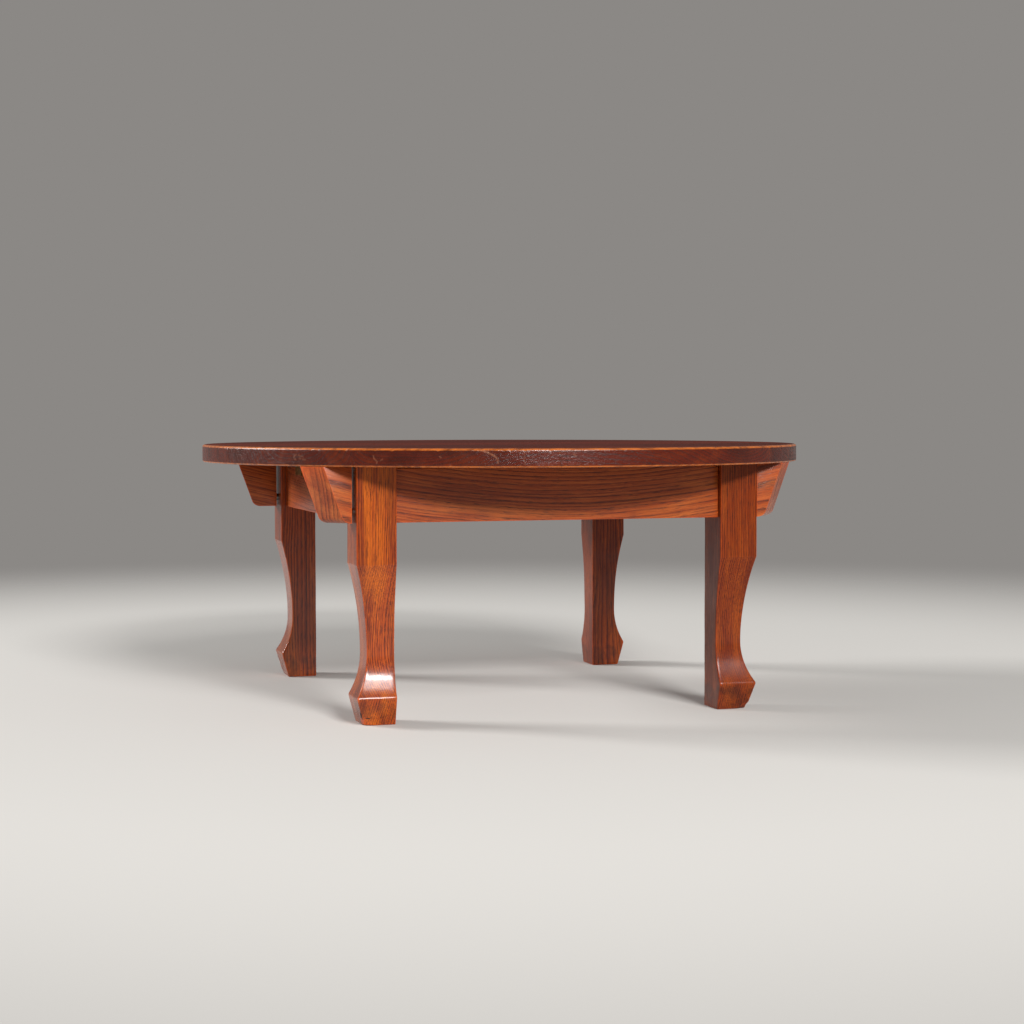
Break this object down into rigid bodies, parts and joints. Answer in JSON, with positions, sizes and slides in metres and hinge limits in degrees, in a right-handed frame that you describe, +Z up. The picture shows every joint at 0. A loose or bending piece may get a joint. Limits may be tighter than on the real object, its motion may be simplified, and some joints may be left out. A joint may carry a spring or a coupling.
{
  "type": "folding low table",
  "caption": "Round low folding table: a wooden top whose hollow-cut legs fold flat underneath on pinned frames, with long rails and hinged side boards.",
  "frame": {"origin": "on the floor, under the middle of the round top", "axes": "+Z up; +X along the two long rails, to the right as seen from the front; +Y from the front legs to the rear legs"},
  "size_m": [0.758, 0.7579, 0.319],
  "materials": {
    "tabletop_wood": "satin lacquer",
    "leg_wood": "satin lacquer",
    "rail_wood": "satin lacquer",
    "side_board_wood": "satin lacquer",
    "pin_steel": "turned",
    "hinge_brass": "aged",
    "screw_brass": "aged"
  },
  "bodies": {
    "tabletop": {"top_board_front_edge": "tabletop_wood", "top_board_front": "tabletop_wood", "top_board_middle": "tabletop_wood", "top_board_rear": "tabletop_wood", "top_board_rear_edge": "tabletop_wood", "front_right_ear": "rail_wood", "front_left_ear": "rail_wood", "rear_right_ear": "rail_wood", "rear_left_ear": "rail_wood", "front_right_pivot_pin": "pin_steel", "front_left_pivot_pin": "pin_steel", "rear_right_pivot_pin": "pin_steel", "rear_left_pivot_pin": "pin_steel", "right_front_hinge_top_leaf": "hinge_brass", "left_front_hinge_top_leaf": "hinge_brass", "right_rear_hinge_top_leaf": "hinge_brass", "left_rear_hinge_top_leaf": "hinge_brass", "right_front_hinge_pin": "hinge_brass", "left_front_hinge_pin": "hinge_brass", "right_rear_hinge_pin": "hinge_brass", "left_rear_hinge_pin": "hinge_brass", "hinge_top_screws": "screw_brass"},
    "front_frame": {"front_left_leg": "leg_wood", "front_right_leg": "leg_wood", "front_rail": "rail_wood"},
    "rear_frame": {"rear_left_leg": "leg_wood", "rear_right_leg": "leg_wood", "rear_rail": "rail_wood"},
    "left_side_frame": {"left_side_board": "side_board_wood", "left_front_hinge_board_leaf": "hinge_brass", "left_rear_hinge_board_leaf": "hinge_brass", "left_board_hinge_screws": "screw_brass"},
    "right_side_frame": {"right_side_board": "side_board_wood", "right_front_hinge_board_leaf": "hinge_brass", "right_rear_hinge_board_leaf": "hinge_brass", "right_board_hinge_screws": "screw_brass"}
  },
  "joints": [
    {"name": "front_frame_fold", "type": "hinge", "parent": "tabletop", "child": "front_frame", "pos_m": [0, -0.2337, 0.2445], "axis": [1, 0, 0], "range_deg": [0, 90]},
    {"name": "rear_frame_fold", "type": "hinge", "parent": "tabletop", "child": "rear_frame", "pos_m": [0, 0.2337, 0.2445], "axis": [-1, 0, 0], "range_deg": [0, 76]},
    {"name": "left_side_board_swing", "type": "hinge", "parent": "tabletop", "child": "left_side_frame", "pos_m": [-0.241, 0, 0.2948], "axis": [0, 1, 0], "range_deg": [0, 90]},
    {"name": "right_side_board_swing", "type": "hinge", "parent": "tabletop", "child": "right_side_frame", "pos_m": [0.241, 0, 0.2948], "axis": [0, -1, 0], "range_deg": [0, 90]}
  ],
  "couplings": [
    {"joint": "rear_frame_fold", "follows": "front_frame_fold", "ratio": 0.84},
    {"joint": "left_side_board_swing", "follows": "front_frame_fold", "ratio": 1},
    {"joint": "right_side_board_swing", "follows": "front_frame_fold", "ratio": 1}
  ]
}
